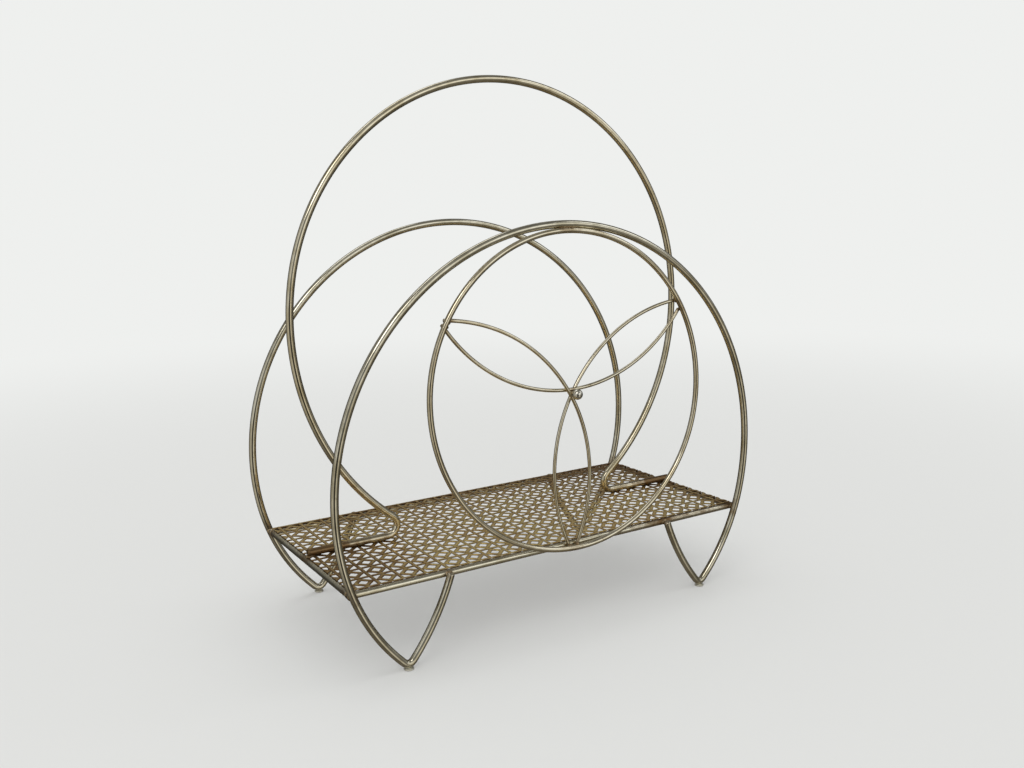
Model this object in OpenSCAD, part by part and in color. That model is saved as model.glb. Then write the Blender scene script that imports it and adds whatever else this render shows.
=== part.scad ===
// Record storage stand: two wire loops that run down into V-shaped feet, a taller handle loop
// between them, a framed shelf of perforated sheet, and a ring with a three-petal flower in front.
// Millimetres. X is the width, Y the depth (the flower faces -Y), Z is up from the floor.
// Drawing planes are given as [x, z] pairs; angles run from +X towards +Z.

/* [Wire] */
// Diameter of the wire of the loops and the handle
wire_d = 6; // [5:0.1:7]
// Diameter of the four shelf rods
rod_d = 5.5; // [4.5:0.1:6.5]
// Diameter of the ring wire
ring_d = 4.5; // [3.5:0.1:5.5]
// Diameter of the petal wires
petal_d = 3; // [2:0.1:4]
// Gap left for the weld wherever two pieces meet
weld_gap = 0.1; // [0.05:0.01:0.2]

/* [Loops and feet] */
// Radius of the loops, on the middle of the wire
loop_r = 197; // [172:0.1:230]
// Height of the middle of the loops
loop_z = 129; // [110:0.1:150]
// Angle below that middle at which the sides begin to curve in more
side_turn = 12; // [0:0.5:20]
// How much smaller the radius of the sides is below that
lower_tuck = 30; // [10:0.5:50]
// Radius of the bend at each foot
foot_bend_r = 5; // [4:0.1:9]
// How far the inner leg's upper end lies in from the foot
leg_in = 38.5; // [31:0.5:47]
// Radius of the inner leg's slight bow
leg_bow_r = 200; // [150:1:400]
// How far the inner leg's end rises above the middle of the shelf rod
leg_lap = 1.5; // [0:0.1:2.5]

/* [Glides] */
// Diameter of the round pad under each foot
glide_d = 8; // [6:0.1:12]
// Thickness of that pad
glide_t = 1.2; // [1:0.1:3]

/* [Shelf] */
// Height of the middle of the shelf rods
shelf_z = 66; // [60:0.5:75]
// Distance between the front rod and the rear rod
shelf_d = 172.5; // [150:0.1:220]
// Thickness of the perforated sheet
sheet_t = 0.8; // [0.6:0.1:1.5]
// Distance from one cell of the pattern to the next
cell = 18.9; // [16:0.1:24]
// Width of the straight bars between the cells
bar_w = 3; // [2:0.1:4]
// Half diagonal of the square hole that stands on its corner in each cell
diamond_half = 4; // [3:0.1:4.6]
// Width left between neighbouring corner holes of a cell
corner_gap = 2.3; // [1:0.1:5]
// Width of the plain edge kept all round the sheet
edge_w = 0.8; // [0.5:0.1:4]
// Shift of the pattern along the width
pattern_x = -1; // [-9:0.1:9]
// Shift of the pattern along the depth
pattern_y = 0.2; // [-9:0.1:9]

/* [Handle] */
// How much smaller the handle's radius is than the loops'
handle_in = 8.2; // [0:0.1:22]
// How far the middle of the handle lies above the middle of the loops
handle_rise = 125.2; // [114:0.1:139]
// Angle from the top at which its sides begin to straighten
handle_turn = 80; // [60:1:95]
// How much larger the radius of its sides is below that
handle_ease = 18.2; // [11:0.1:40]
// Radius of the bend where each side turns outwards over the shelf
handle_bend_r = 9; // [6:0.1:14]

/* [Flower] */
// How far the foot of the ring hangs below the middle of the shelf rod
ring_low = 1.25; // [-6:0.05:8]
// How far the ring is out of round, longer from upper left to lower right
ring_oval = 2.2; // [0:0.1:4]
// Distance of the ring's middle to the right of the stand's middle
ring_shift = 7.6; // [-10:0.1:10]
// How far the petal ends run past the ring wire at the left
tip_left = 1.2; // [0:0.1:3]
// The same at the right
tip_right = -0.5; // [-1:0.1:1]
// The same at the bottom
tip_foot = -1; // [-2:0.1:1]
// How far each petal wire passes from the ring's middle
petal_miss = 2.8; // [0:0.1:4]
// Diameter of the bead over the crossing of the petals
bead_d = 8.6; // [6:0.1:12]

/* [Hidden] */
$fn = 48;

// Meeting point of two circles, on the left of the line from c1 to c2
function meet(c1, r1, c2, r2) =
    let (d = norm(c2 - c1), u = (c2 - c1) / d, a = (r1*r1 - r2*r2 + d*d) / (2*d), h = sqrt(r1*r1 - a*a))
    c1 + a*u + h*[-u[1], u[0]];
function heading(from, to) = atan2(to[1] - from[1], to[0] - from[0]);
function at(c, r, a) = c + r*[cos(a), sin(a)];

// Depth: each wire lies on the outside of what it is welded to
rod_y = shelf_d/2;
loop_y = rod_y + rod_d/2 + weld_gap + wire_d/2;
petal_y = rod_y + rod_d/2 + weld_gap + petal_d/2;
ring_y = petal_y + petal_d/2 + weld_gap + ring_d/2;
petal_step = petal_d + weld_gap;
bead_y = petal_y + petal_step + sqrt(pow((petal_d + bead_d)/2 + weld_gap, 2) - petal_miss*petal_miss);
// The bead reaches further forwards than the rear feet reach back, so the whole stand is moved
// back to have its box about Y = 0
back_by = (bead_y + bead_d/2 - loop_y - max(wire_d, glide_d)/2) / 2;

// Loop, right-hand half: lower side, foot bend, inner leg
loop_c = [0, loop_z];
lower_r = loop_r - lower_tuck;
lower_a = -side_turn;
lower_c = at(loop_c, lower_tuck, lower_a);
foot_z = glide_t + weld_gap + wire_d/2 + foot_bend_r;
foot_x = lower_c[0] + sqrt(pow(lower_r - foot_bend_r, 2) - pow(lower_c[1] - foot_z, 2));
foot_c = [foot_x, foot_z];
leg_top = [foot_x - leg_in, shelf_z + leg_lap];
leg_c = meet(leg_top, leg_bow_r, foot_c, leg_bow_r - foot_bend_r);

// Shelf: the side rods stand where the loops pass the shelf
corner_x = lower_c[0] + sqrt(lower_r*lower_r - pow(lower_c[1] - shelf_z, 2));
sheet_z = shelf_z + rod_d/2 + weld_gap;
corner_side = (cell - bar_w - corner_gap)/2;

// Handle, right-hand half
handle_r = loop_r - handle_in;
handle_z = loop_z + handle_rise;
handle_side_r = handle_r + handle_ease;
run_z = sheet_z + sheet_t + weld_gap + wire_d/2;
side_a = 90 - handle_turn;
side_c = at([0, handle_z], -handle_ease, side_a);
hook_z = run_z + handle_bend_r;
hook_c = [side_c[0] + sqrt(pow(handle_side_r + handle_bend_r, 2) - pow(side_c[1] - hook_z, 2)), hook_z];

// Ring: an oval of four arcs whose joints are at its top, bottom, left and right. Its mean radius
// lets it touch the loop above and hang ring_low below the rod's middle at its foot.
oval_off = 2*ring_oval / (2 - sqrt(2));
oval_rise = oval_off/sqrt(2);
seat = sqrt(pow((wire_d + ring_d)/2 + weld_gap, 2) - pow(ring_y - loop_y, 2));
touch_x = ring_shift - oval_rise;
touch_side = touch_x >= 0 ? 1 : -1;
room_r = loop_r - seat - touch_side*(oval_off - ring_oval);
foot_drop = shelf_z - ring_low - loop_z - touch_side*oval_rise;
ring_r = (room_r*room_r - foot_drop*foot_drop - touch_x*touch_x) / (2*(room_r + foot_drop));
ring_c = [ring_shift, shelf_z - ring_low + ring_r];
end_r = ring_r + ring_oval - oval_off;
flank_r = ring_r - ring_oval + oval_off;

// Petals: three equal arcs past the ring's middle; neighbouring ends lie one wire apart
function ring_reach(a) = ring_r + ring_oval*cos(2*(a - 135));
reach_left = ring_reach(150) + tip_left;
reach_right = ring_reach(30) + tip_right;
reach_foot = ring_reach(-90) + tip_foot;
reach = max(reach_left, reach_right, reach_foot);
end_gap = (petal_d + weld_gap)/2;
end_rise = reach*cos(60) - end_gap*sin(60);
petal_r = (reach*reach + end_gap*end_gap - 2*petal_miss*end_rise + petal_miss*petal_miss)
          / (2*(end_rise - petal_miss));
petal_far = petal_r + petal_miss;
// Angle along a petal arc from its nearest point to a distance c from the ring's middle
function sweep(c) = acos((petal_far*petal_far + petal_r*petal_r - c*c) / (2*petal_r*petal_far));

// Wire bent to an arc in the plane Y = 0
module bend(c, r, a0, a1, d) {
    translate([c[0], 0, c[1]]) rotate([90, 0, 0]) rotate([0, 0, min(a0, a1)])
        rotate_extrude(angle = abs(a1 - a0), $fn = 180) translate([r, 0]) circle(d = d);
}
// A ball a hair thicker than the wire closes the joint between two bends, which stop just short of it
joint_rise = 0.02;
joint_trim = 0.05;
module joint_ball(p, a, d) {
    translate([p[0], 0, p[1]]) rotate([0, -a, 0]) sphere(d = d + 2*joint_rise);
}
// One wire bent to arcs [middle, radius, from angle, to angle] that follow on from one another
module bent_wire(arcs, d) {
    for (arc = arcs) {
        turn = sign(arc[3] - arc[2])*joint_trim/arc[1]*180/PI;
        bend(arc[0], arc[1], arc[2] + turn, arc[3] - turn, d);
    }
    for (k = [1:len(arcs) - 1]) joint_ball(at(arcs[k][0], arcs[k][1], arcs[k][2]), arcs[k][2], d);
}
// A wire's arcs from its left end to its right end, from its top arc and those of its right half
function flipped(arc) = [[-arc[0][0], arc[0][1]], arc[1], 180 - arc[3], 180 - arc[2]];
function both_halves(top, half) =
    concat([for (k = [len(half) - 1:-1:0]) flipped(half[k])], [top], half);
// Straight wire along X
module along_x(x0, x1, z, d) {
    translate([x0, 0, z]) rotate([0, 90, 0]) cylinder(d = d, h = x1 - x0);
}
module both_sides() {
    children();
    mirror([1, 0, 0]) children();
}
// Moves a piece to its depth behind the middle of the stand
module at_depth(y) {
    translate([0, y + back_by, 0]) children();
}

module loop_wire() {
    foot_a = heading(lower_c, foot_c);
    leg_a = heading(leg_c, foot_c);
    bent_wire(both_halves([loop_c, loop_r, 180 - lower_a, lower_a],
                          [[lower_c, lower_r, lower_a, foot_a],
                           [foot_c, foot_bend_r, foot_a, leg_a],
                           [leg_c, leg_bow_r, leg_a, heading(leg_c, leg_top)]]), wire_d);
}
module front_loop() color("#9c9377") at_depth(-loop_y) loop_wire();
module rear_loop() color("#9c9377") at_depth(loop_y) loop_wire();

module handle_loop() color("#a39a7c") at_depth(0) {
    hook_a = heading(side_c, hook_c);
    bent_wire(both_halves([[0, handle_z], handle_r, 180 - side_a, side_a],
                          [[side_c, handle_side_r, side_a, hook_a],
                           [hook_c, handle_bend_r, hook_a + 180, 270]]), wire_d);
    both_sides() {
        joint_ball([hook_c[0], run_z], 90, wire_d);
        along_x(hook_c[0] + joint_trim, corner_x, run_z, wire_d);
    }
}

module cross_rod() along_x(-corner_x - rod_d/2, corner_x + rod_d/2, shelf_z, rod_d);
module front_rod() color("#9c9377") at_depth(-rod_y) cross_rod();
module rear_rod() color("#9c9377") at_depth(rod_y) cross_rod();

side_rod_l = 2*(rod_y - rod_d/2 - weld_gap);
module side_rod(x) {
    at_depth(0) translate([x, side_rod_l/2, shelf_z]) rotate([90, 0, 0])
        cylinder(d = rod_d, h = side_rod_l);
}
module left_rod() color("#8a7c5c") side_rod(-corner_x);
module right_rod() color("#8a7c5c") side_rod(corner_x);

// One cell of the pattern: a square hole on its corner, and a three-cornered hole in each corner
module cell_holes() {
    circle(r = diamond_half, $fn = 4);
    for (sx = [-1, 1], sy = [-1, 1]) scale([sx, sy])
        translate([cell/2 - bar_w/2, cell/2 - bar_w/2])
            polygon([[0, 0], [-corner_side, 0], [0, -corner_side]]);
}
module shelf_sheet() color("#8b7350") at_depth(0) translate([0, 0, sheet_z]) {
    nx = ceil(corner_x/cell) + 1;
    ny = ceil(rod_y/cell) + 1;
    linear_extrude(sheet_t) difference() {
        square([2*corner_x, shelf_d], center = true);
        intersection() {
            square([2*(corner_x - edge_w), shelf_d - 2*edge_w], center = true);
            for (i = [-nx:nx], j = [-ny:ny]) translate([pattern_x + i*cell, pattern_y + j*cell]) cell_holes();
        }
    }
}

module flower_ring() color("#a89f82") at_depth(-ring_y)
    for (a = [0, 180]) {
        bend(at(ring_c, oval_off, a + 135), end_r, a + 90, a + 180, ring_d);
        bend(at(ring_c, -oval_off, a + 45), flank_r, a, a + 90, ring_d);
    }

// An arc bulging away from direction a, leaning by lean wire steps at the ring's middle
module petal_arc(a, before, after, lean) {
    rise = petal_r*(1 - cos(min(sweep(before), sweep(after))));
    at_depth(-petal_y) translate([ring_c[0], 0, ring_c[1]]) rotate([0, 90 - a, 0])
        translate([0, 0, petal_miss + rise]) rotate([lean*asin(petal_step/rise), 0, 0])
            bend([0, petal_r - rise], petal_r, -90 - sweep(before), -90 + sweep(after), petal_d);
}
module petal_arc_upper() color("#b0a68a") petal_arc(90, reach_left, reach_right, 0);
module petal_arc_right() color("#b0a68a") petal_arc(-30, reach_right, reach_foot, 1);
module petal_arc_left() color("#b0a68a") petal_arc(210, reach_foot, reach_left, -1);
module centre_bead() color("#b9b6a6") at_depth(-bead_y)
    translate([ring_c[0], 0, ring_c[1]]) sphere(d = bead_d);

module glide(x, y) color("#6f6650") at_depth(y) translate([x, 0, 0]) cylinder(d = glide_d, h = glide_t);
module front_left_glide() glide(-foot_x, -loop_y);
module front_right_glide() glide(foot_x, -loop_y);
module rear_left_glide() glide(-foot_x, loop_y);
module rear_right_glide() glide(foot_x, loop_y);

front_loop();
rear_loop();
handle_loop();
front_rod();
rear_rod();
left_rod();
right_rod();
shelf_sheet();
flower_ring();
petal_arc_upper();
petal_arc_right();
petal_arc_left();
centre_bead();
front_left_glide();
front_right_glide();
rear_left_glide();
rear_right_glide();
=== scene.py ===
import bmesh
import bpy
import numpy as np
from mathutils import Matrix, Vector


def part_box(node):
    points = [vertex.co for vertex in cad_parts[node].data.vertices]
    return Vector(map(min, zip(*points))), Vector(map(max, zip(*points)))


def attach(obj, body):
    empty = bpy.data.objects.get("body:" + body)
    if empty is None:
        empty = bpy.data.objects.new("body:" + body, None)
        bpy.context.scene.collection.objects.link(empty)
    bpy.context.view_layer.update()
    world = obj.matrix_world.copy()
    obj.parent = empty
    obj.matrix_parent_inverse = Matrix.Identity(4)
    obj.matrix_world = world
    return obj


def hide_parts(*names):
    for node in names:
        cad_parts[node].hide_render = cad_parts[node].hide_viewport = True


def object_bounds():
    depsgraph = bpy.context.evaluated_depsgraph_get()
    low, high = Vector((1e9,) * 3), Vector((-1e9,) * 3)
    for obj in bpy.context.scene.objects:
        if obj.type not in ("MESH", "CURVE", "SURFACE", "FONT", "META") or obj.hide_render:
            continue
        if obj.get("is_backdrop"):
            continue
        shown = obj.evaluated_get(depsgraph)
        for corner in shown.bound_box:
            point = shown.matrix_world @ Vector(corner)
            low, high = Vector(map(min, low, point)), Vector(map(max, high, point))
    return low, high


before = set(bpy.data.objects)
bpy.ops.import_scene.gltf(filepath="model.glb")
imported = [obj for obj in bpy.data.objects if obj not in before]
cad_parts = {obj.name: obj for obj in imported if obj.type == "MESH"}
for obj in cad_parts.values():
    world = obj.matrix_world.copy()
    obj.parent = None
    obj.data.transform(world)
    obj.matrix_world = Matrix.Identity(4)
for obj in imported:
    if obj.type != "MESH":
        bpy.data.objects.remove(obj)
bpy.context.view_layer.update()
scene = bpy.context.scene
scene.view_settings.view_transform = "Standard"
mm = 0.001

# camera and studio

cameraSettings = {
    "place": (-442.5, -726.9, 346.4),  # mm, in the stand's own frame
    "turn": 31.67,                     # degrees to the right of straight on
    "tilt": 10.54,                     # degrees downwards
    "roll": -1.21,
    "lens": 35.13,                     # mm, on a sensor this wide
    "sensor": 36,
    "farthest": 50,                    # metres
}

studio = {
    "floorColour": (0.67, 0.675, 0.66),
    "floorRoughness": 0.75,
    "floorSpecular": 0.15,
    "floorRadius": 6.0,
    "floorSides": 96,
    # near the stand a quarter of the floor is the glowing backdrop colour, painted light that lifts
    # the shadow under the shelf
    "floorFade": (0.3, 1.9, 0.25, 1.0),    # metres from the stand, and how faded there
    "backColour": (0.86, 0.87, 0.855),
    # what the metal mirrors: upright light and dark bands, by the angle to the right of the camera,
    # below the horizon, above it and overhead, each with its tint
    "lowBands": [(-180, 0.06), (-116, 0.05), (-102, 0.08), (-88, 0.36), (-66, 0.36), (-52, 0.26),
                 (-40, 0.62), (-26, 0.50), (-14, 0.12), (0, 0.04), (22, 0.04), (31, 0.42),
                 (39, 0.80), (52, 0.70), (62, 0.26), (80, 0.14), (94, 0.14), (110, 0.05),
                 (150, 0.05), (180, 0.06)],
    "lowTint": (1.0, 0.94, 0.80),
    "highBands": [(-180, 0.11), (-100, 0.12), (-84, 0.40), (-46, 0.45), (-32, 0.90), (-14, 0.25),
                  (14, 0.12), (30, 0.80), (44, 1.0), (72, 1.0), (86, 0.30), (106, 0.22),
                  (130, 0.12), (180, 0.11)],
    "highTint": (1.0, 1.0, 0.97),
    "topBands": [(-180, 0.30), (-168, 0.30), (-150, 0.22), (-60, 0.20), (-20, 0.32), (20, 0.30),
                 (60, 0.24), (95, 0.14), (150, 0.12), (166, 0.28), (180, 0.30)],
    "topTint": (1.0, 0.99, 0.94),
    "horizon": (-0.03, 0.03),              # heights are those of the ray's direction, from -1 to 1
    "topFrom": (0.17, 0.36),
    "topLift": 0.28,                       # how much higher it starts over the camera
    "liftFrom": (-0.6, 0.1),               # from the far side of the room to the camera's
    "under": (0.13, 0.115, 0.09),
    "underFrom": (-0.8, -0.45),
    "fillStrength": 0.9,
    "lampAim": (0, 0, 0.2),
    "lamps": [
        # place, size, power in watts, colour
        ((-1.5, -1.3, 2.0), (1.1, 1.1), 9, (1.0, 0.98, 0.95)),
        ((1.8, -0.8, 1.7), (0.8, 1.4), 4, (0.96, 0.98, 1.0)),
        ((-0.2, 0.9, 2.3), (1.6, 0.8), 5, (1.0, 1.0, 1.0)),
    ],
}


def addNode(tree, kind, settings=None, values=None):
    node = tree.nodes.new("ShaderNode" + kind)
    for key, value in (settings or {}).items():
        setattr(node, key, value)
    for key, value in (values or {}).items():
        if isinstance(value, bpy.types.NodeSocket):
            tree.links.new(value, node.inputs[key])
        else:
            node.inputs[key].default_value = value
    return node


def mixColour(tree, factor, first, second):
    node = addNode(tree, "Mix", {"data_type": "RGBA"}, {"Factor": factor, "A": first, "B": second})
    return node.outputs["Result"]


def mathNode(tree, operation, first, second=0.0, third=0.0, clamp=False):
    values = dict(enumerate((first, second, third)))
    return addNode(tree, "Math", {"operation": operation, "use_clamp": clamp}, values).outputs[0]


def spread(tree, value, low, high, to0=0.0, to1=1.0):
    values = {"Value": value, "From Min": low, "From Max": high, "To Min": to0, "To Max": to1}
    return addNode(tree, "MapRange", {"interpolation_type": "SMOOTHSTEP"}, values).outputs["Result"]


def addCamera(settings):
    camera = bpy.data.objects.new("camera", bpy.data.cameras.new("camera"))
    scene.collection.objects.link(camera)
    turn, tilt, roll = (np.radians(settings[key]) for key in ("turn", "tilt", "roll"))
    aim = (Matrix.Rotation(-turn, 4, "Z") @ Matrix.Rotation(np.pi / 2 - tilt, 4, "X")
           @ Matrix.Rotation(roll, 4, "Z"))
    camera.matrix_world = Matrix.Translation(Vector(settings["place"]) * mm) @ aim
    camera.data.lens = settings["lens"]
    camera.data.sensor_width = settings["sensor"]
    camera.data.clip_end = settings["farthest"]
    scene.camera = camera


def addLamp(place, size, power, colour):
    data = bpy.data.lights.new("softbox", "AREA")
    data.shape = "RECTANGLE"
    data.size, data.size_y = size
    data.energy = power
    data.color = colour
    lamp = bpy.data.objects.new("softbox", data)
    scene.collection.objects.link(lamp)
    lamp.location = place
    aim = Vector(studio["lampAim"]) - Vector(place)
    lamp.rotation_euler = aim.to_track_quat("-Z", "Y").to_euler()


def partAlong(tree, direction, axis):
    node = addNode(tree, "VectorMath", {"operation": "DOT_PRODUCT"}, {0: direction, 1: axis})
    return node.outputs["Value"]


def roomBands(tree, angle, name):
    ramp = addNode(tree, "ValToRGB", None, {"Fac": angle})
    stops = ramp.color_ramp.elements
    bands, tint = studio[name + "Bands"], studio[name + "Tint"]
    while len(stops) < len(bands):
        stops.new(0.5)
    for stop, (degrees, level) in zip(stops, bands):
        stop.position = degrees / 360 + 0.5
        stop.color = (level * tint[0], level * tint[1], level * tint[2], 1)
    return ramp.outputs["Color"]


def reflectedRoom(tree):
    direction = addNode(tree, "TexCoord").outputs["Generated"]
    turn = np.radians(cameraSettings["turn"])
    nearer = partAlong(tree, direction, (-np.sin(turn), -np.cos(turn), 0))
    beside = partAlong(tree, direction, (np.cos(turn), -np.sin(turn), 0))
    height = partAlong(tree, direction, (0, 0, 1))
    around = mathNode(tree, "ARCTAN2", beside, nearer)
    angle = mathNode(tree, "MULTIPLY_ADD", around, 0.5 / np.pi, 0.5)    # 0 to 1 once round
    low, high, top = (roomBands(tree, angle, name) for name in ("low", "high", "top"))
    room = mixColour(tree, spread(tree, height, *studio["horizon"]), low, high)
    lift = spread(tree, nearer, *studio["liftFrom"], 0, studio["topLift"])
    lifted = mathNode(tree, "SUBTRACT", height, lift)
    room = mixColour(tree, spread(tree, lifted, *studio["topFrom"]), room, top)
    return mixColour(tree, spread(tree, height, *studio["underFrom"]), (*studio["under"], 1), room)


def addWorld():
    # camera and transmitted rays see the plain backdrop, glossy rays the room, all others the fill
    world = bpy.data.worlds.new("paleRoom")
    scene.world = world
    world.use_nodes = True
    tree = world.node_tree
    tree.nodes.clear()
    rays = addNode(tree, "LightPath").outputs
    seen = mathNode(tree, "MAXIMUM", rays["Is Camera Ray"], rays["Is Transmission Ray"])
    fill = [studio["fillStrength"]] * 3 + [1]
    light = mixColour(tree, rays["Is Glossy Ray"], fill, reflectedRoom(tree))
    light = mixColour(tree, seen, light, (*studio["backColour"], 1))
    shown = addNode(tree, "Background", None, {"Color": light})
    out = addNode(tree, "OutputWorld")
    tree.links.new(shown.outputs[0], out.inputs[0])


def addFloor():
    # a flat disc: point = radius * (cos angle, sin angle, 0)
    angle = np.linspace(0, 2 * np.pi, studio["floorSides"], endpoint=False)
    rim = np.stack([np.cos(angle), np.sin(angle), 0 * angle], 1) * studio["floorRadius"]
    data = bpy.data.meshes.new("floor")
    data.from_pydata(rim.tolist(), [], [list(range(len(rim)))])
    floor = bpy.data.objects.new("floor", data)
    scene.collection.objects.link(floor)
    material = bpy.data.materials.new("paleFloor")
    material.use_nodes = True
    tree = material.node_tree
    shader = tree.nodes["Principled BSDF"]
    shader.inputs["Base Color"].default_value = (*studio["floorColour"], 1)
    shader.inputs["Roughness"].default_value = studio["floorRoughness"]
    shader.inputs["Specular IOR Level"].default_value = studio["floorSpecular"]
    # far from the stand the floor fades into the backdrop, so that no edge shows; near it a quarter
    # of the backdrop's glow stays, painted light that lifts the shadow under the shelf
    place = addNode(tree, "TexCoord")
    length = addNode(tree, "VectorMath", {"operation": "LENGTH"}, {0: place.outputs["Object"]})
    fade = spread(tree, length.outputs["Value"], *studio["floorFade"])
    backdrop = addNode(tree, "Emission", None, {"Color": (*studio["backColour"], 1)})
    blend = addNode(tree, "MixShader", None, {0: fade})
    tree.links.new(shader.outputs[0], blend.inputs[1])
    tree.links.new(backdrop.outputs[0], blend.inputs[2])
    # glossy rays pass through it to the bands of the room
    clear = addNode(tree, "BsdfTransparent")
    glossy = addNode(tree, "LightPath").outputs["Is Glossy Ray"]
    seen = addNode(tree, "MixShader", None, {0: glossy})
    tree.links.new(blend.outputs[0], seen.inputs[1])
    tree.links.new(clear.outputs[0], seen.inputs[2])
    tree.links.new(seen.outputs[0], tree.nodes["Material Output"].inputs["Surface"])
    data.materials.append(material)
    floor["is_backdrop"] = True


addCamera(cameraSettings)
for lamp in studio["lamps"]:
    addLamp(*lamp)
addWorld()
addFloor()
print("camera, lamps and floor are in place")

# finishes

platingWear = {
    # noises: scale, detail and, on the last, roughness
    "clouds": (38, 4.0),
    "patches": (160, 3.0),
    "lines": (1.0, 2.0),               # on the grain, which each finish scales for itself
    "pits": (900, 2.0, 0.6),
    "patchShare": 0.35,                # of the tarnish; the clouds have the rest
    "dullLevel": (-0.34, 0.67),        # times the finish's tarnish, and plus: where it turns dull
    "dullEdge": 0.14,
    "lineRange": (0.32, 0.7),
    "lineWear": 0.16,                  # how much duller or brighter a draw line is
    "speckLevel": (-0.12, 0.70),       # times the finish's specks, and plus
    "speckEdge": 0.06,
    "speckBrown": 0.6,
    "fray": 0.9,                       # how ragged the edge of a heat stain is
    "frayFrom": (0.02, 0.3),
    "stainAndShadeRange": (0.08, 0.85),
    "dullRoughness": 0.09,             # both are added to the finish's gloss
    "brownRoughness": 0.28,
    "lineHeight": 0.35,
    "patchHeight": 0.4,
    "brownHeight": 0.5,
    "bumpDepth": 0.3 * mm,
}


def newGroup(name, inputs, outputs):
    group = bpy.data.node_groups.new(name, "ShaderNodeTree")
    for label, kind, default in inputs:
        socket = group.interface.new_socket(label, in_out="INPUT", socket_type="NodeSocket" + kind)
        if default is not None:
            socket.default_value = default
    for label, kind in outputs:
        group.interface.new_socket(label, in_out="OUTPUT", socket_type="NodeSocket" + kind)
    return group, group.nodes.new("NodeGroupInput"), group.nodes.new("NodeGroupOutput")


def noise(tree, vector, scale, detail, rough=0.55):
    node = addNode(tree, "TexNoise", None,
                   {"Vector": vector, "Scale": scale, "Detail": detail, "Roughness": rough})
    return node.outputs["Fac"]


def agedPlatingGroup():
    # worn plating: cloudy tarnish, fine draw lines along the wire, dark specks, brown heat stain,
    # which on the sheet also carries painted shade where the metal rolls down at the holes
    group, given, result = newGroup("agedPlating", [
        ("Place", "Vector", None), ("Grain", "Vector", None), ("StainAndShade", "Float", 0.0),
        ("Bright", "Color", (0.5, 0.45, 0.33, 1)), ("Dull", "Color", (0.3, 0.26, 0.17, 1)),
        ("Brown", "Color", (0.09, 0.05, 0.025, 1)), ("Tarnish", "Float", 0.5),
        ("Specks", "Float", 0.4), ("Gloss", "Float", 0.3)
    ], [("Colour", "Color"), ("Roughness", "Float"), ("Height", "Float")])
    place, grain, stainAndShadeAmount = (given.outputs[key] for key in ("Place", "Grain", "StainAndShade"))
    wear = platingWear
    clouds = noise(group, place, *wear["clouds"])
    patches = noise(group, place, *wear["patches"])
    lines = noise(group, grain, *wear["lines"])
    pits = noise(group, place, *wear["pits"])
    patchy = mathNode(group, "MULTIPLY", patches, wear["patchShare"])
    cloudy = mathNode(group, "MULTIPLY_ADD", clouds, 1 - wear["patchShare"], patchy)
    level = mathNode(group, "MULTIPLY_ADD", given.outputs["Tarnish"], *wear["dullLevel"])
    above = mathNode(group, "ADD", level, wear["dullEdge"])
    below = mathNode(group, "SUBTRACT", level, wear["dullEdge"])
    worn = spread(group, cloudy, below, above)
    streaky = spread(group, lines, *wear["lineRange"], -wear["lineWear"], wear["lineWear"])
    worn = mathNode(group, "ADD", worn, streaky, clamp=True)
    base = mixColour(group, worn, given.outputs["Bright"], given.outputs["Dull"])
    speckLevel = mathNode(group, "MULTIPLY_ADD", given.outputs["Specks"], *wear["speckLevel"])
    speckTop = mathNode(group, "ADD", speckLevel, wear["speckEdge"])
    speck = spread(group, pits, speckLevel, speckTop)
    speck = mathNode(group, "MULTIPLY", speck, wear["speckBrown"])
    ragged = mathNode(group, "MULTIPLY_ADD", patches, wear["fray"], -wear["fray"] / 2)
    frayed = mathNode(group, "MULTIPLY", ragged, spread(group, stainAndShadeAmount, *wear["frayFrom"]))
    stainAndShade = spread(group, mathNode(group, "ADD", stainAndShadeAmount, frayed), *wear["stainAndShadeRange"])
    brown = mathNode(group, "MAXIMUM", stainAndShade, speck)
    colour = mixColour(group, brown, base, given.outputs["Brown"])
    rough = mathNode(group, "MULTIPLY_ADD", worn, wear["dullRoughness"], given.outputs["Gloss"])
    rough = mathNode(group, "MULTIPLY_ADD", brown, wear["brownRoughness"], rough, clamp=True)
    height = mathNode(group, "MULTIPLY", patches, wear["patchHeight"])
    height = mathNode(group, "MULTIPLY_ADD", lines, wear["lineHeight"], height)
    height = mathNode(group, "MULTIPLY_ADD", brown, wear["brownHeight"], height)
    group.links.new(colour, result.inputs["Colour"])
    group.links.new(rough, result.inputs["Roughness"])
    group.links.new(height, result.inputs["Height"])
    return group


plating = agedPlatingGroup()


def platingMaterial(name, look):
    # on a wire the grain follows the piece's own UV map, in metres along and around it
    material = bpy.data.materials.new(name)
    material.use_nodes = True
    tree = material.node_tree
    shader = tree.nodes["Principled BSDF"]
    shader.inputs["Metallic"].default_value = 1.0
    place = addNode(tree, "TexCoord")
    wireMap = addNode(tree, "UVMap", {"uv_map": "wire"}).outputs["UV"]
    grain = addNode(tree, "Mapping", None, {"Vector": wireMap, "Scale": look["grain"]})
    # this attribute holds the weld and heat stains, and on the sheet painted shade at the holes as
    # well
    stainAndShade = addNode(tree, "Attribute", {"attribute_name": "stainAndShade"})
    group = tree.nodes.new("ShaderNodeGroup")
    group.node_tree = plating
    tree.links.new(place.outputs["Object"], group.inputs["Place"])
    tree.links.new(grain.outputs[0], group.inputs["Grain"])
    tree.links.new(stainAndShade.outputs["Fac"], group.inputs["StainAndShade"])
    for key in ("Bright", "Dull", "Brown"):
        group.inputs[key].default_value = (*look[key.lower()], 1)
    for key in ("Tarnish", "Specks", "Gloss"):
        group.inputs[key].default_value = look[key.lower()]
    bump = addNode(tree, "Bump", None,
                   {"Strength": look["bump"], "Distance": platingWear["bumpDepth"]})
    tree.links.new(group.outputs["Colour"], shader.inputs["Base Color"])
    tree.links.new(group.outputs["Roughness"], shader.inputs["Roughness"])
    tree.links.new(group.outputs["Height"], bump.inputs["Height"])
    tree.links.new(bump.outputs["Normal"], shader.inputs["Normal"])
    return material


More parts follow.
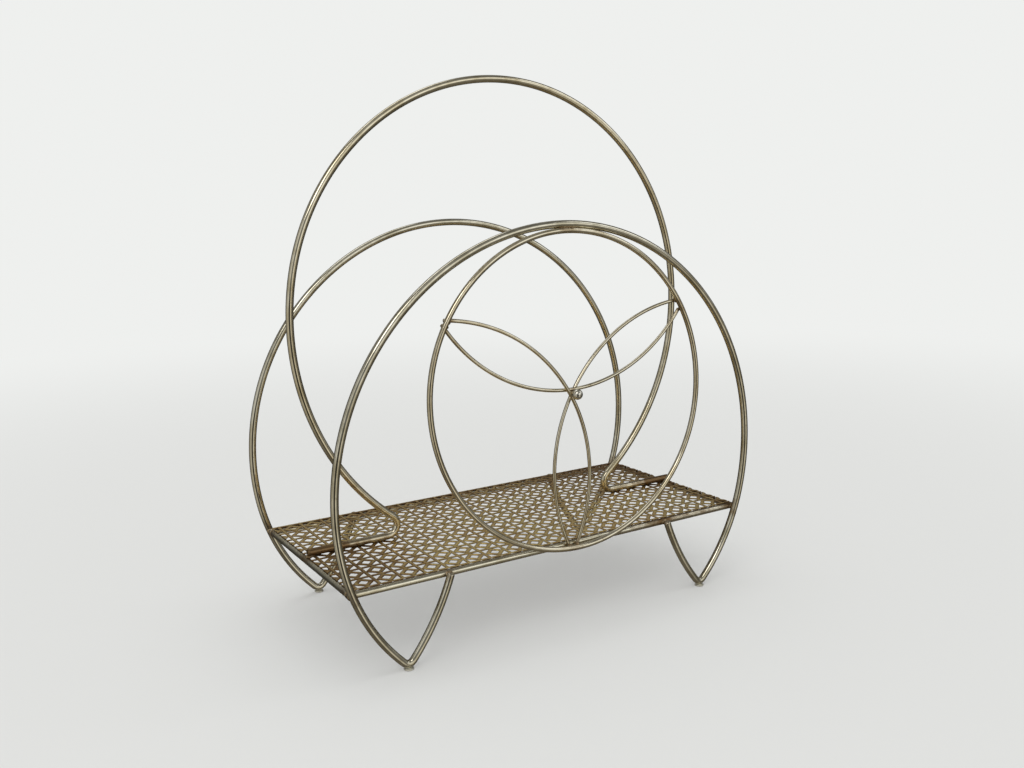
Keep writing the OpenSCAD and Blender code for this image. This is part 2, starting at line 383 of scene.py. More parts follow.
finishes = {
    "wireBrass": {
        "bright": (0.78, 0.74, 0.61), "dull": (0.50, 0.46, 0.34), "brown": (0.22, 0.14, 0.07),
        "tarnish": 0.42, "specks": 0.4, "gloss": 0.05, "bump": 0.05, "grain": (12, 900, 1)},
    "handleBrass": {
        "bright": (0.80, 0.74, 0.58), "dull": (0.54, 0.47, 0.31), "brown": (0.22, 0.14, 0.07),
        "tarnish": 0.42, "specks": 0.35, "gloss": 0.05, "bump": 0.05, "grain": (12, 900, 1)},
    "rodBrass": {
        "bright": (0.80, 0.76, 0.62), "dull": (0.54, 0.49, 0.35), "brown": (0.22, 0.14, 0.07),
        "tarnish": 0.45, "specks": 0.5, "gloss": 0.12, "bump": 0.12, "grain": (12, 900, 1)},
    "flowerBrass": {
        "bright": (0.82, 0.76, 0.60), "dull": (0.58, 0.50, 0.34), "brown": (0.25, 0.16, 0.08),
        "tarnish": 0.38, "specks": 0.35, "gloss": 0.05, "bump": 0.05, "grain": (16, 1100, 1)},
    # its brown is also the colour of the painted shade where the metal rolls down at the holes
    "sheetBronze": {
        "bright": (0.98, 0.75, 0.29), "dull": (0.74, 0.52, 0.21), "brown": (0.22, 0.13, 0.06),
        "tarnish": 0.55, "specks": 0.5, "gloss": 0.2, "bump": 0.4, "grain": (200, 200, 1)},
    "beadNickel": {
        "bright": (0.82, 0.80, 0.73), "dull": (0.64, 0.61, 0.52), "brown": (0.24, 0.18, 0.11),
        "tarnish": 0.35, "specks": 0.3, "gloss": 0.12, "bump": 0.1, "grain": (200, 200, 1)},
    "padSteel": {
        "bright": (0.95, 0.94, 0.86), "dull": (0.82, 0.80, 0.70), "brown": (0.34, 0.27, 0.17),
        "tarnish": 0.35, "specks": 0.3, "gloss": 0.5, "bump": 0.2, "grain": (200, 200, 1)},
    "weldBrown": {
        "bright": (0.58, 0.48, 0.32), "dull": (0.34, 0.25, 0.14), "brown": (0.15, 0.085, 0.045),
        "tarnish": 0.6, "specks": 0.6, "gloss": 0.25, "bump": 0.5, "grain": (300, 300, 1)},
}
materials = {name: platingMaterial(name, look) for name, look in finishes.items()}
print("finishes made:", ", ".join(materials))

# making a mesh


def addPiece(name, points, faces, material, nodes=(), uv=None, stainAndShade=None, sharp=40):
    data = bpy.data.meshes.new(name)
    data.from_pydata(np.asarray(points, float).tolist(), [], faces)
    if uv is not None:
        layer = data.uv_layers.new(name="wire")
        layer.data.foreach_set("uv", np.asarray(uv, np.float32).ravel())
    stainAndShadeAmount = data.attributes.new("stainAndShade", "FLOAT", "POINT")
    amount = np.zeros(len(points)) if stainAndShade is None else stainAndShade
    stainAndShadeAmount.data.foreach_set("value", np.asarray(amount, np.float32))
    data.polygons.foreach_set("use_smooth", np.ones(len(data.polygons), bool))
    data.set_sharp_from_angle(angle=np.radians(sharp))
    data.materials.append(materials[material])
    data.update()
    piece = bpy.data.objects.new(name, data)
    scene.collection.objects.link(piece)
    if nodes:
        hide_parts(*nodes)
    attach(piece, "root")
    return piece


def heatStain(points, welds, reach, strength=0.6):
    # by the distance to the nearest weld: strength * exp(-(distance / reach)^2)
    gap = np.linalg.norm(points[:, None, :] - np.asarray(welds)[None], axis=2)
    return strength * np.exp(-(gap.min(1) / reach) ** 2)


def gridFaces(rows, sides, closed):
    # quads of a grid that wraps round the wire, and along it too when it is closed
    i = np.arange(rows if closed else rows - 1)[:, None]
    j = np.arange(sides)[None, :]
    i2, j2 = (i + 1) % rows, (j + 1) % sides
    quads = np.stack([i * sides + j, i * sides + j2, i2 * sides + j2, i2 * sides + j], -1)
    return quads.reshape(-1, 4)


# places of the rings on a wire's rounded end, and the place whose radius its flat tip takes, both
# as shares of the end's length
capRings = np.array([0, 0.08, 0.3, 0.62])
capTip = 0.12


def addWire(name, path, radius, planeNormal, material, nodes, welds, reach,
            closed=False, sides=20, capLength=1.2 * mm, browning=None):
    # point = path(s) + r(s) * (cos(a) * side + sin(a) * planeNormal), where side lies across the
    # path in its plane and r(s) follows a quarter ellipse over the last capLength of an open wire
    path = np.asarray(path, float)
    if closed:
        tangent = np.roll(path, -1, 0) - np.roll(path, 1, 0)
        step = np.linalg.norm(np.diff(np.vstack([path, path[:1]]), axis=0), axis=1)
        length = np.concatenate([[0], np.cumsum(step)])
        r = np.full(len(path), radius)
    else:
        ends = capLength * capRings
        step = np.linalg.norm(np.diff(path, axis=0), axis=1)
        s = np.concatenate([[0], np.cumsum(step)])
        inner = s[(s > capLength) & (s < s[-1] - capLength)]
        wanted = np.concatenate([ends, [capLength], inner, [s[-1] - capLength], s[-1] - ends[::-1]])
        path = np.stack([np.interp(wanted, s, path[:, k]) for k in range(3)], 1)
        length = wanted
        nearEnd = np.minimum(wanted, wanted[-1] - wanted)
        r = radius * np.sqrt(1 - (1 - np.clip(nearEnd / capLength, capTip, 1)) ** 2)
        tangent = np.gradient(path, wanted, axis=0)
    tangent /= np.linalg.norm(tangent, axis=1)[:, None]
    normal = np.asarray(planeNormal, float)
    normal /= np.linalg.norm(normal)
    side = np.cross(normal, tangent)
    angle = np.linspace(0, 2 * np.pi, sides, endpoint=False)
    ring = (np.cos(angle)[None, :, None] * side[:, None, :]
            + np.sin(angle)[None, :, None] * normal[None, None, :])
    points = (path[:, None, :] + r[:, None, None] * ring).reshape(-1, 3)
    quads = gridFaces(len(path), sides, closed)
    faces = quads.tolist()
    i, j = np.divmod(np.arange(len(quads)), sides)
    around = 2 * np.pi * radius / sides
    corners = ((i, j), (i, j + 1), (i + 1, j + 1), (i + 1, j))
    uv = np.stack([np.stack([length[row], column * around], 1) for row, column in corners], 1)
    uv = uv.reshape(-1, 2)
    if not closed:
        last = (len(path) - 1) * sides
        faces.append(list(range(sides))[::-1])
        faces.append(list(range(last, last + sides)))
        uv = np.vstack([uv, ring[0][::-1, :2] * radius, ring[-1][:, :2] * radius])
    stainAndShade = heatStain(points, welds, reach)
    if browning:
        stainAndShade += browning(points)
    return addPiece(name, points, faces, material, nodes, uv, stainAndShade)


def arcPath(arcs, depth, step=2.5 * mm):
    # arcs of one wire in an upright plane: middle x and z, radius, and the angles from and to
    parts = []
    for x, z, r, start, stop in arcs:
        length = abs(np.radians(stop - start)) * r
        count = max(4, int(np.ceil(length / step)))
        a = np.radians(np.linspace(start, stop, count + 1))
        parts.append(np.stack([x + r * np.cos(a), np.full(len(a), depth), z + r * np.sin(a)], 1))
    return np.concatenate([part[:-1] for part in parts] + [parts[-1][-1:]])


def circlesMeet(c1, r1, c2, r2):
    # where two circles cross, on the left of the line from c1 to c2
    c1, c2 = np.asarray(c1, float), np.asarray(c2, float)
    gap = np.linalg.norm(c2 - c1)
    u = (c2 - c1) / gap
    a = (r1 ** 2 - r2 ** 2 + gap ** 2) / (2 * gap)
    return c1 + a * u + np.sqrt(r1 ** 2 - a ** 2) * np.array([-u[1], u[0]])


def heading(start, stop):
    return np.degrees(np.arctan2(stop[1] - start[1], stop[0] - start[0]))


def nodeBox(name):
    low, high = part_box(name)
    return np.array(low), np.array(high)


def nodeMiddle(name):
    low, high = nodeBox(name)
    return (low + high) / 2


def pointAt(centre, distance, degrees):
    turn = np.radians(degrees)
    return np.asarray(centre, float) + distance * np.array([np.cos(turn), np.sin(turn)])


# shelf's place

shelfZ = nodeMiddle("front_rod")[2]
frontRodY, rearRodY = nodeMiddle("front_rod")[1], nodeMiddle("rear_rod")[1]
sideRodX = nodeMiddle("right_rod")[0]
rodRadius = (nodeBox("front_rod")[1][2] - nodeBox("front_rod")[0][2]) / 2

# loops and feet

loop = {
    "lowerTuck": 30 * mm,      # the sides curve in more below the loops' middle
    "sideTurn": 12,            # degrees below the middle at which they begin to
    "footBend": 5 * mm,
    "legIn": 38.5 * mm,        # the inner leg's upper end, in from the foot
    "legOverRod": 1.5 * mm,
    "legBow": 200 * mm,
    "weldStain": 10 * mm,      # how far the brown of a weld reaches
}
padThickness = nodeBox("front_left_glide")[1][2]
weldGap = 0.1 * mm


def loopArcs(name):
    low, high = nodeBox(name)
    wire = (high[1] - low[1]) / 2
    big = (high[0] - low[0]) / 2 - wire
    middle = np.array([0, high[2] - wire - big])
    lowerRadius = big - loop["lowerTuck"]
    lower = pointAt(middle, loop["lowerTuck"], -loop["sideTurn"])
    footZ = padThickness + weldGap + wire + loop["footBend"]
    reach = lowerRadius - loop["footBend"]
    foot = np.array([lower[0] + np.sqrt(reach ** 2 - (lower[1] - footZ) ** 2), footZ])
    legTop = np.array([foot[0] - loop["legIn"], shelfZ + loop["legOverRod"]])
    leg = circlesMeet(legTop, loop["legBow"], foot, loop["legBow"] - loop["footBend"])
    footTurn, legTurn = heading(lower, foot), heading(leg, foot)
    half = [(*lower, lowerRadius, -loop["sideTurn"], footTurn),
            (*foot, loop["footBend"], footTurn, legTurn),
            (*leg, loop["legBow"], legTurn, heading(leg, legTop))]
    mirrored = [(-x, z, r, 180 - stop, 180 - start) for x, z, r, start, stop in half[::-1]]
    top = (*middle, big, 180 + loop["sideTurn"], -loop["sideTurn"])
    return mirrored + [top] + half, wire, foot[0], legTop[0]


weldSpots = {"corner_welds": [], "leg_welds": [], "foot_solder": []}
for name, rodY in (("front_loop", frontRodY), ("rear_loop", rearRodY)):
    arcs, wireRadius, footX, legTopX = loopArcs(name)
    depth = nodeMiddle(name)[1]
    seam = depth + np.sign(rodY - depth) * wireRadius      # where loop and rod touch
    corners = [(side * sideRodX, seam, shelfZ) for side in (-1, 1)]
    legs = [(side * legTopX, seam, shelfZ) for side in (-1, 1)]
    weldSpots["corner_welds"] += corners
    weldSpots["leg_welds"] += legs
    weldSpots["foot_solder"] += [(side * footX, depth, padThickness + weldGap) for side in (-1, 1)]
    addWire(name + "_wire", arcPath(arcs, depth), wireRadius, (0, 1, 0), "wireBrass",
            [name], corners + legs, loop["weldStain"])
print("loops made")

# handle

handle = {
    "topTurn": 80,             # degrees from the top at which its sides begin to ease
    "ease": 18.2 * mm,         # how much larger the sides' radius is
    "bend": 9 * mm,            # where each side turns outwards over the shelf
    "runPoints": 25,           # along each straight end
    "weldIn": 3 * mm,          # from the side rod's middle
    "stainLength": 20 * mm,    # of each end, browned by its weld
    "weldStain": 16 * mm,
    "brown": 0.38,             # where it lies on the sheet
    "brownHeight": 11 * mm,
}


def handlePath():
    low, high = nodeBox("handle_loop")
    wire = (high[1] - low[1]) / 2
    depth = (high[1] + low[1]) / 2
    start = 90 - handle["topTurn"]
    big = high[0] - wire - handle["ease"] * (1 - np.cos(np.radians(start)))
    middle = np.array([0, high[2] - wire - big])
    side = pointAt(middle, -handle["ease"], start)
    sideRadius = big + handle["ease"]
    runZ = low[2] + wire
    hookZ = runZ + handle["bend"]
    reach = sideRadius + handle["bend"]
    hook = np.array([side[0] + np.sqrt(reach ** 2 - (side[1] - hookZ) ** 2), hookZ])
    hookTurn = heading(side, hook)
    half = [(*side, sideRadius, start, hookTurn), (*hook, handle["bend"], hookTurn + 180, 270)]
    mirrored = [(-x, z, r, 180 - stop, 180 - begin) for x, z, r, begin, stop in half[::-1]]
    arcs = arcPath(mirrored + [(*middle, big, 180 - start, start)] + half, depth)
    run = np.linspace(sideRodX, hook[0], handle["runPoints"], endpoint=False)
    left = np.stack([-run, np.full_like(run, depth), np.full_like(run, runZ)], 1)
    right = left[::-1] * (-1, 1, 1)
    return np.vstack([left, arcs, right]), wire, depth, runZ, hook[0]


path, wireRadius, handleY, runZ, hookX = handlePath()


def handleBrown(points):
    # brown * exp(-((z - middle of the ends) / brownHeight)^2)
    return handle["brown"] * np.exp(-((points[:, 2] - runZ) / handle["brownHeight"]) ** 2)


weldX = sideRodX - handle["weldIn"]
handleEnds = [(side * weldX, handleY, runZ - wireRadius) for side in (-1, 1)]
browned = np.linspace(sideRodX - handle["stainLength"], sideRodX, 3)
handleSpots = [(side * x, handleY, runZ) for side in (-1, 1) for x in browned]
addWire("handle_wire", path, wireRadius, (0, 1, 0), "handleBrass", ["handle_loop"],
        handleSpots, handle["weldStain"], browning=handleBrown)
print("handle made")

# shelf rods

rods = {
    "longPoints": 90,
    "sidePoints": 60,
    "weldStain": 8 * mm,
    "sideStain": 16 * mm,
    "brown": 0.42,             # the right half of the long rods is a little browner
    "brownFrom": 20 * mm,
    "brownOver": 60 * mm,      # over this length it grows to its full strength
}


def rodBrown(points):
    # brown times the share of brownOver that x has gone past brownFrom
    return rods["brown"] * np.clip((points[:, 0] - rods["brownFrom"]) / rods["brownOver"], 0, 1)


def rodLine(name, axis, count):
    # from end to end of the rod's own box, through its middle
    low, high = nodeBox(name)
    line = np.tile((low + high) / 2, (count, 1))
    line[:, axis] = np.linspace(low[axis], high[axis], count)
    line[:, 2] = shelfZ
    return line


rodSpots = weldSpots["corner_welds"] + weldSpots["leg_welds"]
for name in ("front_rod", "rear_rod"):
    addWire(name + "_wire", rodLine(name, 0, rods["longPoints"]), rodRadius, (0, 1, 0), "rodBrass",
            [name], rodSpots, rods["weldStain"], browning=rodBrown)
sideRodSpots = []
for name in ("left_rod", "right_rod"):
    line = rodLine(name, 1, rods["sidePoints"])
    ends = [tuple(line[0]), tuple(line[-1])]
    sideRodSpots += ends
    addWire(name + "_wire", line, rodRadius, (1, 0, 0), "rodBrass", [name],
            ends + [(line[0, 0], handleY, shelfZ)], rods["sideStain"])
print("shelf rods made")

# ring and petals

flower = {
    "oval": 2.2 * mm,          # the ring's radius is larger by this at its far ends
    "longWay": 135,            # degrees, from lower right to upper left
    "tipTurn": {"left": 150, "right": 30, "foot": -90},
    "tipPast": {"left": 1.2 * mm, "right": -0.5 * mm, "foot": -1 * mm},    # past the ring's line
    "miss": 2.8 * mm,          # how far each petal wire passes from the ring's middle
    "petalPoints": 130,
    "ringSides": 18,
    "petalSides": 14,
    "petalCap": 0.6 * mm,
    "tipIn": 0.3 * mm,         # how far inside the ring's middle line its welds may lie
    "topWeld": (-3 * mm, 1.2 * mm, 0.2 * mm),   # from the top of the ring
    "topStain": (-8 * mm, 0, 8 * mm),
    "weldStain": 6 * mm,
}
ringLow, ringHigh = nodeBox("flower_ring")
ringWire = (ringHigh[1] - ringLow[1]) / 2
ringMiddle = nodeMiddle("flower_ring")[[0, 2]]
ringY = nodeMiddle("flower_ring")[1]
ringRadius = (ringHigh[0] - ringLow[0]) / 2 - ringWire


def ringPath():
    # an oval of four arcs: two wide ones on the flanks and two tight ones at the far ends
    off = 2 * flower["oval"] / (2 - np.sqrt(2))
    tight = ringRadius + flower["oval"] - off
    wide = ringRadius - flower["oval"] + off
    arcs = []
    for a in (0, 180):
        flank = flower["longWay"] - 90 + a
        arcs.append((*pointAt(ringMiddle, -off, flank), wide, flank - 45, flank + 45))
        arcs.append((*pointAt(ringMiddle, off, flank + 90), tight, flank + 45, flank + 135))
    return arcPath(arcs, ringY)[:-1]


def ringReach(angle):
    # radius + oval * cos(twice the angle from the ring's long way)
    return ringRadius + flower["oval"] * np.cos(np.radians(2 * (angle - flower["longWay"])))


petalLow, petalHigh = nodeBox("petal_arc_upper")
petalWire = (petalHigh[1] - petalLow[1]) / 2
petalY = (petalLow[1] + petalHigh[1]) / 2
reaches = {tip: ringReach(flower["tipTurn"][tip]) + past for tip, past in flower["tipPast"].items()}
petalStep = 2 * petalWire + weldGap
longest = max(reaches.values())
# three equal arcs past the ring's middle, whose neighbouring ends lie one wire apart
endGap = petalStep / 2
endRise = longest * np.cos(np.radians(60)) - endGap * np.sin(np.radians(60))
petalRadius = ((longest ** 2 + endGap ** 2 - 2 * flower["miss"] * endRise + flower["miss"] ** 2)
               / (2 * (endRise - flower["miss"])))
petalFar = petalRadius + flower["miss"]


def petalSweep(reach):
    return np.degrees(np.arccos((petalFar ** 2 + petalRadius ** 2 - reach ** 2)
                                / (2 * petalRadius * petalFar)))


def petalPath(turn, before, after, lean):
    # an arc whose top passes the ring's middle, leaning forwards or back there by whole wire steps
    first, second = petalSweep(reaches[before]), petalSweep(reaches[after])
    rise = petalRadius * (1 - np.cos(np.radians(min(first, second))))
    a = np.radians(np.linspace(-90 - first, -90 + second, flower["petalPoints"]))
    x, z = petalRadius * np.cos(a), petalRadius - rise + petalRadius * np.sin(a)
    tip = np.arcsin(lean * petalStep / rise)
    y, z = -z * np.sin(tip), z * np.cos(tip) + flower["miss"] + rise
    spin = np.radians(90 - turn)
    return np.stack([ringMiddle[0] + x * np.cos(spin) + z * np.sin(spin), petalY + y,
                     ringMiddle[1] - x * np.sin(spin) + z * np.cos(spin)], 1)


petals = {
    "petal_arc_upper": petalPath(90, "left", "right", 0),
    "petal_arc_right": petalPath(-30, "right", "foot", 1),
    "petal_arc_left": petalPath(210, "foot", "left", -1),
}
ringBack = ringY + ringWire
tipSpots = []
for path in petals.values():
    for end in (path[0], path[-1]):
        out = end[[0, 2]] - ringMiddle
        onRing = ringMiddle + out * min(1, (ringRadius - flower["tipIn"]) / np.linalg.norm(out))
        tipSpots.append((onRing[0], ringBack, onRing[1]))
ringTop = np.array([ringMiddle[0], ringY, ringHigh[2]]) + flower["topWeld"]
topSpots = [tuple(ringTop + (x, 0, 0)) for x in flower["topStain"]]
crossing = (ringMiddle[0], petalY - petalStep, ringMiddle[1])
addWire("flower_ring_wire", ringPath(), ringWire, (0, 1, 0), "flowerBrass",
        ["flower_ring"], tipSpots + topSpots, flower["weldStain"], closed=True,
        sides=flower["ringSides"])
for name, path in petals.items():
    middle = path[len(path) // 2]
    across = np.cross(middle - path[0], path[-1] - middle)
    addWire(name + "_wire", path, petalWire, across, "flowerBrass", [name],
            tipSpots + [crossing], flower["weldStain"], sides=flower["petalSides"],
            capLength=flower["petalCap"])
print("ring and petals made")

# turned pieces


def addTurned(name, profile, centre, axis, material, nodes, sides=28):
    # point = centre + height * axis + radius * (cos(a) * u + sin(a) * v), and both ends of the
    # profile lie on the axis
    radius, height = np.asarray(profile, float).T
    axis = np.asarray(axis, float)
    u = np.cross(axis, (1, 0, 0) if axis[2] else (0.3, 0.2, 0.9))     # any line across the axis
    u /= np.linalg.norm(u)
    v = np.cross(axis, u)
    a = np.linspace(0, 2 * np.pi, sides, endpoint=False)
    ring = np.cos(a)[:, None] * u + np.sin(a)[:, None] * v
    body = (np.asarray(centre) + height[1:-1, None, None] * axis
            + radius[1:-1, None, None] * ring[None]).reshape(-1, 3)
    points = np.vstack([body, centre + height[0] * axis, centre + height[-1] * axis])
    rows = len(profile) - 2
    faces = gridFaces(rows, sides, False)[:, ::-1].tolist()
    j = np.arange(sides)
    j2 = (j + 1) % sides
    faces += np.stack([np.full(sides, len(body)), j2, j], 1).tolist()
    last = (rows - 1) * sides
    faces += np.stack([np.full(sides, len(body) + 1), last + j, last + j2], 1).tolist()
    return addPiece(name, points, faces, material, nodes)


bead = {"rows": 19, "sides": 36}
beadLow, beadHigh = nodeBox("centre_bead")
beadRadius = (beadHigh[2] - beadLow[2]) / 2
v = np.radians(np.linspace(-90, 90, bead["rows"]))
ball = np.stack([beadRadius * np.cos(v), beadRadius * np.sin(v)], 1)
addTurned("bead", ball, nodeMiddle("centre_bead"), (0, -1, 0), "beadNickel",
          ["centre_bead"], bead["sides"])

pad = {"edge": 0.45 * mm, "edgePoints": 9}
for name in ("front_left_glide", "front_right_glide", "rear_left_glide", "rear_right_glide"):
    low, high = nodeBox(name)
    r, t, e = (high[0] - low[0]) / 2, high[2] - low[2], pad["edge"]
    a = np.radians(np.linspace(-90, 90, pad["edgePoints"]))
    outline = [(0, 0), *zip(r - e + e * np.cos(a), t / 2 + (t / 2) * np.sin(a)), (0, t)]
    foot = (*((low + high) / 2)[:2], low[2])
    addTurned(name.replace("glide", "pad"), outline, foot, (0, 0, 1), "padSteel", [name])
print("bead and pads made")

# perforated sheet

sheet = {
    "cell": 18.9 * mm,
    "bar": 3 * mm,
    "diamond": 4 * mm,          # half diagonal of the hole in the middle of a cell
    "cornerHole": 6.8 * mm,     # straight sides of the three-cornered holes
    "shift": (-1 * mm, 0.2 * mm),
    "gauge": 0.3 * mm,
    "relief": 0.46 * mm,        # how far the metal rolls down at a hole's edge
    "roundEdge": 0.95 * mm,
    "topGap": 0.01 * mm,        # below the top of the node's box
    "merge": 0.002 * mm,
    "rimRows": (0, 0.22, 0.78, 1),  # rows of points across the metal round the diamond, as shares
    "barRows": (0, 0.6, 1),         # and across half a bar
    "brown": 0.1,                   # all over it
    "brownSpots": [
        # strength, middle x and y, and spread in x and y, in mm; the last, a negative one, makes
        # the front middle less brown
        (0.5, -165, -45, 50, 60),
        (0.3, 140, 60, 60, 50),
        (0.35, 186, 0, 20, np.inf),
        (-0.4, 10, -60, 90, 35),
    ],
    "rearBrown": (0.35, 90 * mm, 30 * mm),  # strength, middle y and spread at the rear edge
    "rearFrom": (-190 * mm, 60 * mm),       # where that begins, and over which length it grows
    "handleBrown": (0.25, 12 * mm),         # strength and spread along the handle's ends
    "handlePast": 10 * mm,                  # how far inside their bends that begins
    # painted shade: the metal is darkened to brown where it rolls down at the holes
    "rimShade": 0.8,                        # where the metal rolls down at the holes
}


def patchRow(corners, across):
    # a row of quads: point = (1-u)(1-v) p00 + u(1-v) p10 + uv p11 + (1-u)v p01
    p00, p10, p11, p01 = (np.array(corner, float) for corner in corners)
    u, v = np.meshgrid(across, (0, 1))
    u, v = u.reshape(-1, 1), v.reshape(-1, 1)
    points = (1 - u) * (1 - v) * p00 + u * (1 - v) * p10 + u * v * p11 + (1 - u) * v * p01
    wide = len(across)
    first = np.arange(wide - 1)
    return points, np.stack([first, first + 1, first + wide + 1, first + wide], 1)


def cellSurface():
    # an eighth of a cell in four patches, turned and mirrored to the whole cell
    half = sheet["cell"] / 2
    inner = half - sheet["bar"] / 2
    d, hole = sheet["diamond"], sheet["cornerHole"]
    tip, mid, corner = (inner, inner - hole), (inner - hole / 2, inner - hole / 2), (inner, inner)
    edge = (0.75 * d, 0.25 * d)        # halfway along this eighth's side of the diamond
    patches = [patchRow(((d, 0), (inner, 0), tip, edge), sheet["rimRows"]),
               patchRow((edge, tip, mid, (d / 2, d / 2)), sheet["rimRows"]),
               patchRow(((inner, 0), (half, 0), (half, tip[1]), tip), sheet["barRows"]),
               patchRow((tip, (half, tip[1]), (half, half), corner), sheet["barRows"])]
    starts = np.cumsum([0] + [len(points) for points, quads in patches[:-1]])
    eighth = np.concatenate([points for points, quads in patches])
    quads = np.concatenate([quads + start for (points, quads), start in zip(patches, starts)])
    points, faces = [], []
    for sx, sy in ((1, 1), (-1, 1), (-1, -1), (1, -1)):
        for swap in (False, True):
            flipped = (sx * sy < 0) != swap
            faces.append((quads[:, ::-1] if flipped else quads) + len(points) * len(eighth))
            points.append((eighth[:, ::-1] if swap else eighth) * (sx, sy))
    return np.concatenate(points), np.concatenate(faces)


def holeDistance(p):
    # distance outwards from the nearest hole's edge, in a cell's own place
    x, y = np.abs(p[:, 0]), np.abs(p[:, 1])
    inner = (sheet["cell"] - sheet["bar"]) / 2
    fromDiamond = (x + y - sheet["diamond"]) / np.sqrt(2)
    slant = (2 * inner - sheet["cornerHole"] - x - y) / np.sqrt(2)
    return np.clip(np.minimum(fromDiamond, np.maximum(np.maximum(x, y) - inner, slant)), 0, None)


def sheetStainAndShade(points, topZ):
    # a spot is strength * exp(-((x - its x) / spread x)^2 - ((y - its y) / spread y)^2); the rear
    # edge and the handle's ends add a band each, and painted shade darkens the metal to brown where
    # it rolls down at the holes
    x, y, z = points.T
    stainAndShade = np.full(len(points), sheet["brown"])
    for strength, spotX, spotY, wideX, wideY in sheet["brownSpots"]:
        away = ((x - spotX * mm) / (wideX * mm)) ** 2 + ((y - spotY * mm) / (wideY * mm)) ** 2
        stainAndShade += strength * np.exp(-away)
    strength, rearY, wide = sheet["rearBrown"]
    begin, over = sheet["rearFrom"]
    stainAndShade += strength * np.exp(-((y - rearY) / wide) ** 2) * np.clip((x - begin) / over, 0, 1)
    strength, wide = sheet["handleBrown"]
    underHandle = np.abs(x) > hookX - sheet["handlePast"]
    stainAndShade += strength * np.exp(-((y - handleY) / wide) ** 2) * underHandle
    # painted shade: the metal that rolls down at a hole's edge is darkened to brown
    paintedRimShade = np.clip((topZ - z) / sheet["relief"], 0, 1)
    return np.clip(stainAndShade, 0, 1) + sheet["rimShade"] * paintedRimShade


def addSheet():
    low, high = nodeBox("shelf_sheet")
    middle = (low + high) / 2
    points, faces = cellSurface()
    # top = upper face - relief * (1 - distance from the hole / roundEdge)^2
    flatness = np.clip(holeDistance(points) / sheet["roundEdge"], 0, 1)
    top = high[2] - sheet["topGap"] - sheet["relief"] * (1 - flatness) ** 2
    count = np.ceil((high - low)[:2] / 2 / sheet["cell"]).astype(int) + 1
    i, j = np.meshgrid(np.arange(-count[0], count[0] + 1), np.arange(-count[1], count[1] + 1))
    cells = np.stack([i.ravel(), j.ravel()], 1) * sheet["cell"] + sheet["shift"] + middle[:2]
    flat = (cells[:, None, :] + points[None]).reshape(-1, 2)
    all3d = np.column_stack([flat, np.tile(top, len(cells))])
    allFaces = (faces[None] + np.arange(len(cells))[:, None, None] * len(points)).reshape(-1, 4)
    places = np.round(all3d / sheet["merge"]).astype(int)
    first, back = np.unique(places, axis=0, return_index=True, return_inverse=True)[1:]
    data = bpy.data.meshes.new("sheetSurface")
    data.from_pydata(all3d[first].tolist(), [], back.ravel()[allFaces].tolist())
    # the four edges are cut off straight, and Solidify gives the metal its thickness
    work = bmesh.new()
    work.from_mesh(data)
    for axis in (0, 1):
        for edge, sign in ((low, -1), (high, 1)):
            normal = Vector((0, 0, 0))
            normal[axis] = sign
            bmesh.ops.bisect_plane(work, geom=work.verts[:] + work.edges[:] + work.faces[:],
                                   dist=0.001 * mm, plane_co=Vector(edge), plane_no=normal,
                                   clear_outer=True)
    work.to_mesh(data)
    work.free()
    shell = bpy.data.objects.new("sheetSurface", data)
    scene.collection.objects.link(shell)
    wall = shell.modifiers.new("gauge", "SOLIDIFY")
    wall.thickness = sheet["gauge"]
    wall.offset = -1
    thick = shell.evaluated_get(bpy.context.evaluated_depsgraph_get())
    shape = bpy.data.meshes.new_from_object(thick)
    bpy.data.objects.remove(shell)
    solid = np.zeros(len(shape.vertices) * 3)
    shape.vertices.foreach_get("co", solid)
    solid = solid.reshape(-1, 3)
    solidFaces = [tuple(polygon.vertices) for polygon in shape.polygons]
    print("sheet faces:", len(solidFaces))
    return addPiece("perforated_sheet", solid, solidFaces, "sheetBronze",
                    ["shelf_sheet"], stainAndShade=sheetStainAndShade(solid, high[2]), sharp=50)


addSheet()
print("perforated sheet made")

# welds

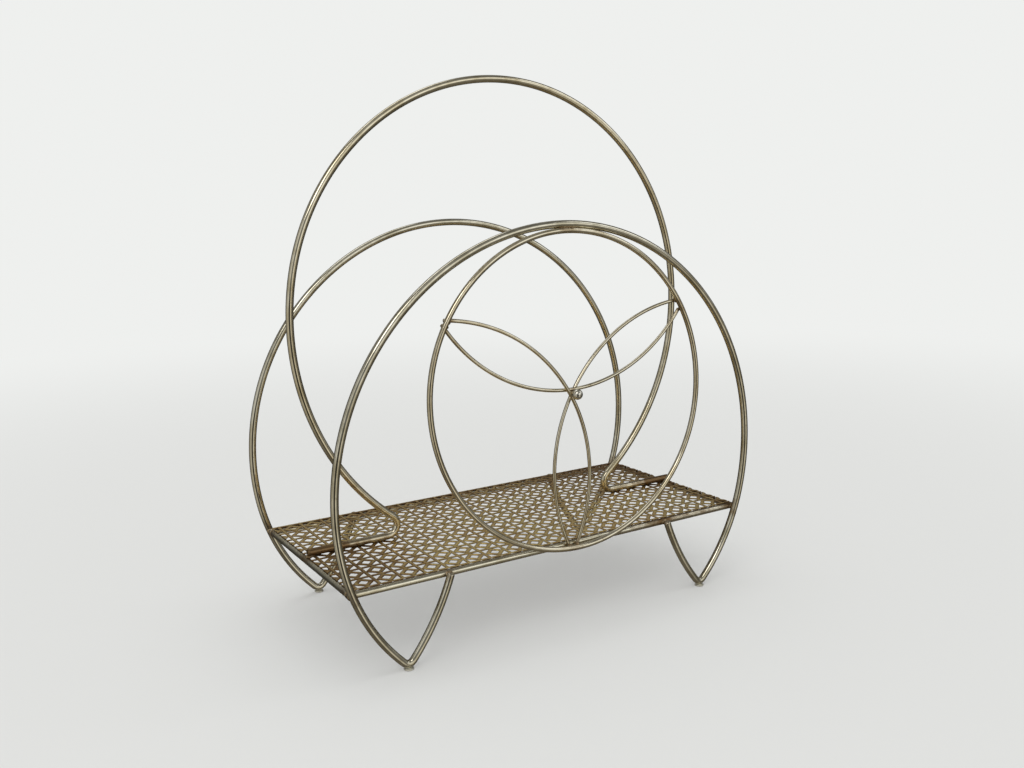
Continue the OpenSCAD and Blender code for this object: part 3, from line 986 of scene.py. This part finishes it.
welds = {
    # each kind is one piece: spots, radii in mm, finish, slot, lumpiness and brownness
    "corner_welds": (weldSpots["corner_welds"], (3.2, 1.1, 2.5), "weldBrown", "wire", 0.2, 0.35),
    "leg_welds": (weldSpots["leg_welds"], (3.0, 1.1, 2.1), "weldBrown", "wire", 0.2, 0.35),
    "side_rod_welds": (sideRodSpots, (3.0, 0.9, 3.0), "weldBrown", "shelf_rod", 0.1, 0.35),
    "handle_welds": (handleEnds, (4.5, 3.0, 1.3), "weldBrown", "wire", 0.2, 0.35),
    "ring_weld": ([ringTop], (9, 1.5, 1.2), "weldBrown", "flower_wire", 0.12, 0.35),
    "petal_welds": (tipSpots, (1.9, 0.9, 1.8), "weldBrown", "flower_wire", 0.2, 0.35),
    "petal_crossing_solder": ([crossing], (2.2, 2.6, 2.2), "weldBrown", "flower_wire", 0.2, 0.35),
    "foot_solder": (weldSpots["foot_solder"], (2.6, 2.6, 0.45), "padSteel", "glide", 0.1, 0.05),
}


def addBlobs(name, spots, radii, material, lump, brown, rows=9, sides=16):
    # point = spot + radii * direction * (1 + lump * sin(3u + 1.7k) * sin(2v + 0.9k)), where u runs
    # round, v down from the pole, and k counts the spots so that no two are alike
    spots = np.asarray(spots, float)
    k = np.arange(len(spots))[:, None, None]
    u = np.linspace(0, 2 * np.pi, sides, endpoint=False)[None, None, :]
    v = np.linspace(0, np.pi, rows + 2)[None, 1:-1, None]
    swell = 1 + lump * np.sin(3 * u + 1.7 * k) * np.sin(2 * v + 0.9 * k)
    across = np.sin(v) * swell
    direction = np.stack([across * np.cos(u), across * np.sin(u), np.cos(v) * swell], -1)
    body = direction.reshape(len(spots), -1, 3)
    poles = np.tile([[0.0, 0.0, 1.0], [0.0, 0.0, -1.0]], (len(spots), 1, 1))
    unit = np.concatenate([body, poles], 1)
    points = (spots[:, None, :] + unit * np.array(radii) * mm).reshape(-1, 3)
    inner = rows * sides
    j = np.arange(sides)
    j2 = (j + 1) % sides
    upper = np.stack([np.full(sides, inner), j, j2], 1)
    lower = np.stack([np.full(sides, inner + 1), inner - sides + j2, inner - sides + j], 1)
    quads = gridFaces(rows, sides, False)[:, ::-1]
    faces = []
    for start in range(0, len(points), inner + 2):
        faces += (quads + start).tolist() + (upper + start).tolist() + (lower + start).tolist()
    return addPiece(name, points, faces, material, stainAndShade=np.full(len(points), brown))


for name, (spots, radii, finish, slot, lump, brown) in welds.items():
    addBlobs(name, spots, radii, finish, lump, brown)
print("welds made")

low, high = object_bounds()
